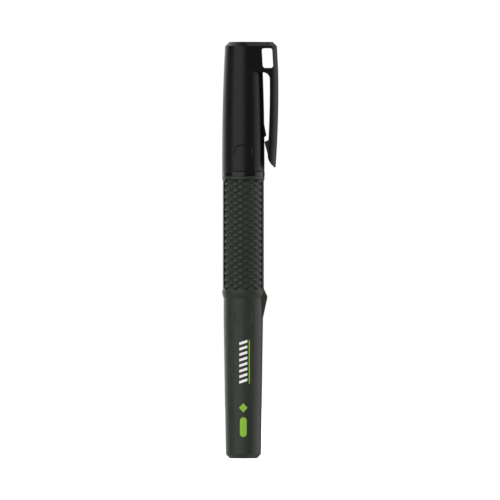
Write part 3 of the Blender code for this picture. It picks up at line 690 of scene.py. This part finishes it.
lip_z = NOSE_END_Z - LIP_HEIGHT
holder_outline = eased([
    (NIB_CHANNEL_RADIUS, NIB_CHANNEL_MIDDLE_Z, 0),
    (NIB_CHANNEL_RADIUS, NOSE_END_Z, 0.12),
    (NOSE_RADIUS, NOSE_END_Z, 0.25),
    (NOSE_RADIUS, lip_z, 0.06),
    (NOSE_RADIUS - LIP_GROOVE, lip_z + LIP_GROOVE_Z[0], 0.05),
    (NOSE_RADIUS - NOSE_DRAFT, lip_z + LIP_GROOVE_Z[1], 0.1),
    (NOSE_RADIUS, NOSE_Z, 0.2),
    (NECK_RADIUS, NECK_END_Z, 0.3),
    (NECK_RADIUS, NECK_Z, 0.4),
    (SEAT_RADIUS, SHOULDER_Z, 0.3),
    (SEAT_RADIUS, SNAP_Z + SNAP_REACH, 0.2),
    (SEAT_RADIUS + SNAP_PROUD, SNAP_Z, 0.3),
    (SEAT_RADIUS, SNAP_Z - SNAP_REACH, 0.2),
    (SEAT_RADIUS, SEAM_END_Z, 0.1),
    (SEAM_RADIUS, SEAM_END_Z, 0.02),
    (RING_RADIUS - RING_EASE, SEAT_Z, 0.02),
    (RING_RADIUS, SEAT_Z - RING_EASE, 0.06),
    (RING_RADIUS, RING_Z, 0.1),
    (PLUG_RADIUS, RING_Z, 0.1),
    (PLUG_RADIUS, PLUG_Z, 0.3),
    (PLUG_BORE_RADIUS, PLUG_Z, 0.1),
    (PLUG_BORE_RADIUS, SEAT_Z, 0.3),
    (NIB_CHANNEL_RADIUS, SEAT_Z + PLUG_BORE_RADIUS - NIB_CHANNEL_RADIUS, 0.2),
    (NIB_CHANNEL_RADIUS, NIB_CHANNEL_MIDDLE_Z, 0),
])
nib_holder = skinned("nib_holder", turned(holder_outline, ROUND_COLUMNS))
polished_black = moulded(
    "polished_black", (0.0065, 0.0065, 0.0067),
    grain=4.0, smooth=0.06, rough=0.11, gloss=0.46, polish=0.4, relief=0.0008,
)
finished(nib_holder, polished_black)
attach(nib_holder, "marker")
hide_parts("nozzle")


# Nib: a rod of bonded polyester fibre with a bullet point, pushed through the holder into the reservoir.
# It is soaked with black ink, so only its fine lengthwise fibres show.
NIB_RADIUS = 1.8
NIB_REACH = 5.1
NIB_TIP_RADIUS = 0.38
NIB_REAR_Z = 77.4
NIB_REAR_CHAMFER = 0.15
NIB_STEPS = 28
FIBRE_STRETCH = (1, 1, 0.08)
CLUMP_STRETCH = (1, 1, 0.3)

point_power = 2 * NIB_REACH * NIB_TIP_RADIUS / NIB_RADIUS ** 2
nib_outline = [
    (0, NIB_REAR_Z),
    (NIB_RADIUS - NIB_REAR_CHAMFER, NIB_REAR_Z),
    (NIB_RADIUS, NIB_REAR_Z + NIB_REAR_CHAMFER),
]
for step in range(NIB_STEPS + 1):
    share = sin(pi / 2 * step / NIB_STEPS)
    radius = NIB_RADIUS * sqrt(max(0.0, 1 - share ** point_power))
    nib_outline.append((radius, NOSE_END_Z + NIB_REACH * share))
nib = skinned("fibre_nib", turned(nib_outline, ROUND_COLUMNS))


def fibre_group():
    """Bundled fibres along the marker: fine streaks in tone and relief."""
    group, given, result = new_group(
        "lengthwise_fibre",
        {"Colour": "Color", "Lit colour": "Color", "Fibres": "Float"},
        {"Colour": "Color", "Height": "Float"},
    )
    place = place_in_millimetres(group)
    fibre = noise(group, place, given.outputs["Fibres"], stretch=FIBRE_STRETCH)
    clump = noise(group, place, cells=1.6, stretch=CLUMP_STRETCH)
    lit_fibre = spread(group, fibre, 0.4, 0.7, 0, 1)
    lit_clump = spread(group, clump, *NOISE_RANGE, 0.4, 1)
    share = calculated(group, "MULTIPLY", lit_fibre, lit_clump)
    colour = mixed(group, share, given.outputs["Colour"], given.outputs["Lit colour"])
    group.links.new(colour, result.inputs["Colour"])
    group.links.new(fibre, result.inputs["Height"])
    return group


lengthwise_fibre = fibre_group()


def fibrous(name, colour, lit_colour, fibres, roughness, relief):
    """Material of a bundle, with fibres per millimetre and relief in millimetres."""
    material = bpy.data.materials.new(name)
    material.use_nodes = True
    tree = material.node_tree
    shader = tree.nodes["Principled BSDF"]
    shader.inputs["Roughness"].default_value = roughness
    bundle = add_node(tree, "ShaderNodeGroup", node_tree=lengthwise_fibre)
    values = {"Colour": (*colour, 1), "Lit colour": (*lit_colour, 1), "Fibres": fibres}
    for label, value in values.items():
        bundle.inputs[label].default_value = value
    height = {"Height": bundle.outputs["Height"], "Distance": relief * MILLIMETRE}
    tree.links.new(bundle.outputs["Colour"], shader.inputs["Base Color"])
    tree.links.new(add_node(tree, "ShaderNodeBump", height).outputs[0], shader.inputs["Normal"])
    return material


inked_felt = fibrous(
    "inked_felt", (0.006, 0.006, 0.007), (0.022, 0.022, 0.024),
    fibres=9.0, roughness=0.85, relief=0.05,
)
finished(nib, inked_felt)
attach(nib, "marker")
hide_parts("nib")


# Ink reservoir: a bundle of polyester fibre soaked in ink and wrapped in a thin clear film.
# Both are out of sight inside the barrel, so their CAD solids stay and only get their finish.
soaked_fibre = fibrous(
    "soaked_fibre", (0.008, 0.008, 0.011), (0.030, 0.030, 0.038),
    fibres=6.0, roughness=0.9, relief=0.08,
)
clear_film = moulded(
    "clear_film", (0.33, 0.34, 0.37),
    grain=2.0, smooth=0.14, rough=0.3, gloss=0.5, polish=0.2, relief=0.01,
)
for node, material in (("ink_reservoir", soaked_fibre), ("reservoir_film", clear_film)):
    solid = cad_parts[node]
    solid.data.materials.clear()
    solid.data.materials.append(material)


# Sealing cup: a soft grey-black polypropylene liner, pressed into the cap to close on the nozzle's neck.
# It only shows from below, when the cap is off.
CUP_RADIUS = 4.98
CUP_BORE_RADIUS = 4.08
CUP_Z = 104.59
CUP_END_Z = 138.1
CUP_FLOOR = 1.0
cup = skinned("sealing_cup", turned(eased([
    (0, CUP_END_Z - CUP_FLOOR, 0),
    (CUP_BORE_RADIUS, CUP_END_Z - CUP_FLOOR, 0.6),
    (CUP_BORE_RADIUS, CUP_Z, 0.35),
    (CUP_RADIUS, CUP_Z, 0.2),
    (CUP_RADIUS, CUP_END_Z, 0.4),
    (0, CUP_END_Z, 0),
]), ROUND_COLUMNS))
liner_plastic = moulded(
    "liner_plastic", (0.022, 0.022, 0.023),
    grain=5.0, smooth=0.36, rough=0.5, gloss=0.4, polish=0.3, relief=0.006,
)
finished(cup, liner_plastic)
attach(cup, "inner_cap")
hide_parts("inner_cap")


# Cap: a satin black moulding, straight at its rim and drawn in towards a chamfered top.
# On the clip's side its head widens into a nose with a window through it, and a small catch stands below.
# A thumb scoop is set into its front and back above the rim.
RIM_Z = 96.5
RIM_HEIGHT = 2.0           # plain stretch above the rim
CAP_STRAIGHT_Z = 100.0
CAP_SHOULDER_Z = 138.6
CAP_SHOULDER_RUN = 1.0
CAP_TOP_Z = 140.0
CAP_NARROWING = 0.98
CAP_NARROWING_POWER = 2.15
CAP_CHAMFER = 1.4
CAP_TOP_RUN = 0.5
SOCKET_RADIUS = 5.85
SOCKET_Z = 102.9
CAP_BORE_RADIUS = 5.13
CAP_BORE_Z = 103.62
CAP_CEILING_Z = 138.4
CAP_SCOOP_Z = 105.4
CAP_SCOOP_LENGTH = 6.8
CAP_SCOOP_WIDTH = 5.85
CAP_SCOOP_SPLAY = 0.1
CAP_SCOOP_CORNER = 1.85
CAP_SCOOP_DEPTH = 0.38
CAP_SCOOP_FOOT_Z = 98.6    # from here on, points stand close together along a scoop
CAP_SCOOP_ROWS = 70
TUBE_Z = 107.4             # and from here on, far apart again
TUBE_STEPS = 12
HEAD_STEPS = 4
BRIDGE_Z = 129.8
WINDOW_Z = 131.24
WINDOW_END_Z = 137.92
WINDOW_BACKING = 0.02      # plastic left on the tube behind the window
WINDOW_POST = 1.65
WINDOW_CORNER = 0.78
WINDOW_CUT = (0.5, 0.58)   # width and height of its cut-off lower corners
WINDOW_CUT_EASE = 0.6
CATCH_WIDTH = 3.4
CATCH_EDGE = 0.2
CATCH_OUTLINE = (
    (6.2, 107.6, 0), (6.9, 107.84, 0.05), (7.79, 108.5, 0.18), (6.95, 112.7, 0.3), (6.2, 112.7, 0),
)
NOSE_ROUND = 3.75
NOSE_LEAN = 0.02           # how far the nose draws in per millimetre above the bridge
CLIP_THICKNESS = 2.89
CLIP_GAP = 2.12
CLIP_BOW_RADIUS = 350.0
CLIP_BOW_Z = 123.5
FLANK_NUDGE = radians(0.2)     # a column stands this far on each side of where a flank begins
FLANK_CLEAR = radians(0.6)     # and no other column this close to it


def cap_radius(z):
    """Outside of the cap's tube."""
    share = max(0.0, z - CAP_STRAIGHT_Z) / (CAP_SHOULDER_Z - CAP_STRAIGHT_Z)
    return BODY_RADIUS - CAP_NARROWING * share ** CAP_NARROWING_POWER


def clip_outer(z):
    """Outer edge of the bowed clip and of the nose above it."""
    reach = cap_radius(CLIP_BOW_Z) + CLIP_GAP + CLIP_THICKNESS
    bow = CLIP_BOW_RADIUS - sqrt(CLIP_BOW_RADIUS ** 2 - (z - CLIP_BOW_Z) ** 2)
    return reach - bow - NOSE_LEAN * max(0.0, z - BRIDGE_Z)


HEAD_LEAN = asin((cap_radius(BRIDGE_Z) - NOSE_ROUND) / (clip_outer(BRIDGE_Z) - NOSE_ROUND))


def head_ring(columns, z, top_z, inset=0.0):
    """Plan of the cap's head: the tube and the clip's nose, joined by straight flanks."""
    ring = []
    for angle in columns:
        on_nose = cos(angle) > sin(HEAD_LEAN)
        radius = (NOSE_ROUND if on_nose else cap_radius(z)) - inset
        middle_x = clip_outer(z) - NOSE_ROUND if on_nose else 0.0
        ring.append((middle_x + radius * cos(angle), radius * sin(angle), top_z))
    return ring


def cap_columns():
    """Angles round the cap, with one close on each side of where its flanks begin."""
    flank = pi / 2 - HEAD_LEAN
    beside = [turn + nudge for turn in (flank, 2 * pi - flank) for nudge in (-FLANK_NUDGE, FLANK_NUDGE)]
    others = []
    for angle in columns_round():
        if min(abs(angle - turn) for turn in beside) > FLANK_CLEAR:
            others.append(angle)
    return sorted(others + beside)


def cap_dent(x, z):
    """Scoops on the cap."""
    shape = CAP_SCOOP_DEPTH, CAP_SCOOP_LENGTH, CAP_SCOOP_WIDTH, CAP_SCOOP_SPLAY, CAP_SCOOP_CORNER
    return scoop_dent(CAP_SCOOP_Z - z, x, *shape)


columns = cap_columns()
cap_rings = turned(eased([
    (0, CAP_CEILING_Z, 0),
    (CAP_BORE_RADIUS, CAP_CEILING_Z, 0.3),
    (CAP_BORE_RADIUS, CAP_BORE_Z, 0.2),
    (SOCKET_RADIUS, SOCKET_Z, 0.2),
    (SOCKET_RADIUS, RIM_Z, 0.2),
    (BODY_RADIUS, RIM_Z, 0.06),
    (BODY_RADIUS, RIM_Z + RIM_HEIGHT, 0),
]), columns)
tube_levels = [CAP_SCOOP_FOOT_Z + SCOOP_ROW * step for step in range(CAP_SCOOP_ROWS)]
tube_levels += [TUBE_Z + (BRIDGE_Z - TUBE_Z) * step / TUBE_STEPS for step in range(TUBE_STEPS + 1)]
cap_rings += turned([(cap_radius(z), z) for z in tube_levels], columns, cap_dent)
shoulder_z = CAP_SHOULDER_Z - CAP_SHOULDER_RUN
for step in range(HEAD_STEPS + 1):
    level = BRIDGE_Z + (shoulder_z - BRIDGE_Z) * step / HEAD_STEPS
    cap_rings.append(head_ring(columns, level, level))
chamfer = eased([
    (0, shoulder_z, 0),
    (0, CAP_SHOULDER_Z, 0.15),
    (CAP_CHAMFER, CAP_TOP_Z, 0.15),
    (CAP_CHAMFER + CAP_TOP_RUN, CAP_TOP_Z, 0),
])
for inset, z in chamfer[1:]:
    cap_rings.append(head_ring(columns, min(z, CAP_SHOULDER_Z), z, inset))
cap = skinned("black_cap", cap_rings)

cut_x, cut_z = WINDOW_CUT
window_x, window_end_x = (cap_radius(z) + WINDOW_BACKING for z in (WINDOW_Z, WINDOW_END_Z))
post_x, post_end_x = (clip_outer(z) - WINDOW_POST for z in (WINDOW_Z, WINDOW_END_Z))
window_outline = eased([
    ((window_x + post_x) / 2, WINDOW_Z, 0),
    (post_x - cut_x, WINDOW_Z, WINDOW_CUT_EASE),
    (post_x, WINDOW_Z + cut_z, WINDOW_CUT_EASE),
    (post_end_x, WINDOW_END_Z, WINDOW_CORNER),
    (window_end_x, WINDOW_END_Z, WINDOW_CORNER),
    (window_x, WINDOW_Z + cut_z, WINDOW_CUT_EASE),
    (window_x + cut_x, WINDOW_Z, WINDOW_CUT_EASE),
    ((window_x + post_x) / 2, WINDOW_Z, 0),
])[:-1]
window = skinned("window", [[(x, y, z) for x, z in window_outline] for y in (-OUTSIDE, OUTSIDE)])
joined(cap, window, "DIFFERENCE")
joined(cap, slab("catch", eased(CATCH_OUTLINE), CATCH_WIDTH / 2, CATCH_EDGE), "UNION")
satin_black = moulded(
    "satin_black", (0.0062, 0.0062, 0.0064),
    grain=8.0, smooth=0.29, rough=0.39, gloss=0.36, polish=0.5, relief=0.004,
)
finished(cap, satin_black)
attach(cap, "cap")
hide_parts("cap_shell")


# Clip: a bowed arm moulded in one with the cap's head, rooted below the window.
# Its inner face ends in a curved lead-in, with a tooth above it that grips cloth against the cap.
CLIP_TIP_Z = 97.8
CLIP_THICKENING = 0.0045   # growth per millimetre below the bow
CLIP_ROOT_FILLET = 2.25
CLIP_END_HEIGHT = 4.6
CLIP_END_THICKNESS = 0.3
CLIP_END_POWER = 2.2
CLIP_EDGE = 0.4
CLIP_END_STEPS = 14
CLIP_STEPS = 26
CLIP_FILLET_STEPS = 10
CLIP_ARC_STEPS = 18
CLIP_ARC_SHARE = 0.985     # keeps the arc's ends off the corners of the inner face
TOOTH_WIDTH = 4.4
TOOTH_OUTLINE = (
    (-10.0, 107.13, 0), (-8.8, 107.13, 0.25), (-7.12, 106.46, 0.12), (-7.22, 105.75, 0.1),
    (-8.26, 102.1, 0.2), (-10.0, 102.1, 0),
)
ROOT_Z = (BRIDGE_Z + 0.02, 130.9)   # the arm's top, buried in the head
ROOT_INSET = 0.04


def clip_inner(z):
    """Inner face of the arm, with its root fillet and the lead-in at its tip."""
    face = clip_outer(z) - CLIP_THICKNESS - CLIP_THICKENING * max(0.0, CLIP_BOW_Z - z)
    into_fillet = min(CLIP_ROOT_FILLET, z - (BRIDGE_Z - CLIP_ROOT_FILLET))
    if into_fillet > 0:
        return face - CLIP_ROOT_FILLET + sqrt(CLIP_ROOT_FILLET ** 2 - into_fillet ** 2)
    below_end = max(0.0, CLIP_TIP_Z + CLIP_END_HEIGHT - z)
    return face + (CLIP_THICKNESS - CLIP_END_THICKNESS) * (below_end / CLIP_END_HEIGHT) ** CLIP_END_POWER


def clip_ring(z, inset=0.0):
    """Section of the arm: round outside, straight flanks, and a flat inner face with eased edges."""
    radius = NOSE_ROUND - inset
    nose_x = clip_outer(z) - NOSE_ROUND
    inner = clip_inner(z) + inset
    flank_x = nose_x + radius * sin(HEAD_LEAN)
    turn = pi / 2 - HEAD_LEAN
    edge_y = radius * cos(HEAD_LEAN) + (flank_x - inner) * tan(HEAD_LEAN)
    if inner > flank_x:
        turn = acos((inner - nose_x) / radius)
        edge_y = radius * sin(turn)
    section = [(inner, 0, 0), (inner, -edge_y, CLIP_EDGE)]
    for step in range(CLIP_ARC_STEPS + 1):
        angle = turn * (2 * step / CLIP_ARC_STEPS - 1) * CLIP_ARC_SHARE
        section.append((nose_x + radius * cos(angle), radius * sin(angle), 0))
    section += [(inner, edge_y, CLIP_EDGE), (inner, 0, 0)]
    return [(x, y, z) for x, y in eased(section)[:-1]]


end_z = CLIP_TIP_Z + CLIP_END_HEIGHT
fillet_z = BRIDGE_Z - CLIP_ROOT_FILLET
arm_levels = [CLIP_TIP_Z + CLIP_END_HEIGHT * step / CLIP_END_STEPS for step in range(CLIP_END_STEPS)]
arm_levels += [end_z + (fillet_z - end_z) * step / CLIP_STEPS for step in range(CLIP_STEPS)]
for step in range(CLIP_FILLET_STEPS + 1):
    arm_levels.append(fillet_z + CLIP_ROOT_FILLET * sin(pi / 2 * step / CLIP_FILLET_STEPS))
arm_rings = [clip_ring(z) for z in arm_levels] + [clip_ring(z, ROOT_INSET) for z in ROOT_Z]
clip = skinned("clip_arm", arm_rings)
tooth = slab("tooth", [(-x, z) for x, z in eased(TOOTH_OUTLINE)], TOOTH_WIDTH / 2, 0.0)
joined(clip, tooth, "UNION")
finished(clip, satin_black)
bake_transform(clip)
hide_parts("pocket_clip")


# Studio: a white sweep of floor under soft light, with the camera level and far off, as for a catalogue.
# Pale panels with dark gaps between them stand around, and draw the long soft reflections on the plastic.
PHOTO_WIDTH = 168.2        # across the picture at the marker
PHOTO_CENTRE_X = 2.25
PHOTO_CENTRE_Z = 70.02
LENS = 1000.0
SENSOR = 36.0
FLOOR_SIZE = 3.0           # in metres
FLOOR_DROP = 0.05          # keeps the floor clear of the flat rear end
FLOOR_GLOW = 0.8
PAPER_TONES = (0.90, 0.93)
# Brightness round the marker, by the angle in degrees to the right of the camera
PANELS = (
    (-180, 0.2), (-170, 0.85), (-150, 1.5), (-140, 1.5), (-128, 1.2), (-116, 0.6), (-106, 0.15),
    (-67, 0.12), (-61, 1.0), (-54, 1.17), (-9, 1.17), (-1, 0.88), (6, 0.44), (12, 0.14), (18, 0.12),
    (62, 0.12), (72, 0.9), (82, 1.03), (96, 1.14), (112, 1.3), (120, 1.28), (129, 0.6), (138, 0.12),
    (174, 0.05), (180, 0.2),
)
ABOVE = (0.15, 1.6)        # overhead, from the gap in the middle out to the sides
BELOW = (0.2, 0.42)
UNDERNEATH = (0.3, 0.68)
FRONT_ABOVE = 0.45         # the same on the camera's side
FRONT_BELOW = 0.2
# Where one field of light gives way to the next, as parts of a direction of length 1
TO_SIDES = (0.15, 0.55)
PAST_SIDES = (0.55, 0.75)
TO_FRONT = (-0.1, -0.4)
TO_ABOVE = (0.5, 0.75)
TO_BELOW = (-0.1, -0.45)
TO_UNDERNEATH = (-0.6, -0.75)


def grey(brightness):
    """Colour of one brightness."""
    return (brightness, brightness, brightness, 1)


scene = bpy.context.scene
scene.view_settings.view_transform = "Standard"
world = bpy.data.worlds.new("studio")
world.use_nodes = True
scene.world = world
sky = world.node_tree
sky.nodes.clear()
looking = add_node(sky, "ShaderNodeTexCoord").outputs["Generated"]
rightward, away, upward = add_node(sky, "ShaderNodeSeparateXYZ", {0: looking}).outputs
bearing = calculated(sky, "ARCTAN2", rightward, calculated(sky, "MULTIPLY", away, -1.0))
turn_share = calculated(sky, "ADD", calculated(sky, "DIVIDE", bearing, 2 * pi), 0.5)
panels = add_node(sky, "ShaderNodeValToRGB", {0: turn_share})
stops = panels.color_ramp.elements
while len(stops) < len(PANELS):
    stops.new(0.5)
for stop, (angle, brightness) in zip(stops, PANELS):
    stop.position = angle / 360 + 0.5
    stop.color = grey(brightness)
in_front = spread(sky, away, *TO_FRONT, 0, 1)
aside = calculated(sky, "ABSOLUTE", rightward)
beside = calculated(sky, "MAXIMUM", in_front, spread(sky, aside, *PAST_SIDES, 0, 1))
overhead, low, underneath = (spread(sky, aside, *TO_SIDES, *ends) for ends in (ABOVE, BELOW, UNDERNEATH))
overhead = mixed(sky, beside, overhead, grey(FRONT_ABOVE))
underneath = mixed(sky, in_front, underneath, grey(FRONT_BELOW))
around = mixed(sky, spread(sky, upward, *TO_ABOVE, 0, 1), panels.outputs[0], overhead)
around = mixed(sky, spread(sky, upward, *TO_BELOW, 0, 1), around, low)
around = mixed(sky, spread(sky, upward, *TO_UNDERNEATH, 0, 1), around, underneath)
seen = add_node(sky, "ShaderNodeLightPath").outputs["Is Camera Ray"]
light = add_node(sky, "ShaderNodeBackground", {"Color": mixed(sky, seen, around, grey(1))})
add_node(sky, "ShaderNodeOutputWorld", {0: light.outputs[0]})

builder = bmesh.new()
bmesh.ops.create_grid(builder, x_segments=8, y_segments=8, size=FLOOR_SIZE / 2)
floor_mesh = bpy.data.meshes.new("floor")
builder.to_mesh(floor_mesh)
builder.free()
floor = bpy.data.objects.new("floor", floor_mesh)
floor.location.z = -FLOOR_DROP * MILLIMETRE
scene.collection.objects.link(floor)
paper = bpy.data.materials.new("white_paper")
paper.use_nodes = True
paper_tree = paper.node_tree
paper_shader = paper_tree.nodes["Principled BSDF"]
paper_fibre = noise(paper_tree, place_in_millimetres(paper_tree), cells=0.6, detail=4.0)
paper_colour = mixed(paper_tree, paper_fibre, *(grey(tone) for tone in PAPER_TONES))
paper_tree.links.new(paper_colour, paper_shader.inputs["Base Color"])
paper_shader.inputs["Roughness"].default_value = 0.9
paper_shader.inputs["Specular IOR Level"].default_value = 0.1
paper_shader.inputs["Emission Color"].default_value = grey(1)
paper_shader.inputs["Emission Strength"].default_value = FLOOR_GLOW
floor_mesh.materials.append(paper)
floor.visible_glossy = False
floor.visible_diffuse = False

camera = bpy.data.objects.new("camera", bpy.data.cameras.new("camera"))
camera.data.lens = LENS
camera.data.sensor_width = SENSOR
distance = PHOTO_WIDTH * MILLIMETRE * LENS / SENSOR
camera.location = (PHOTO_CENTRE_X * MILLIMETRE, -distance, PHOTO_CENTRE_Z * MILLIMETRE)
camera.rotation_euler = (radians(90), 0, 0)
scene.collection.objects.link(camera)
scene.camera = camera
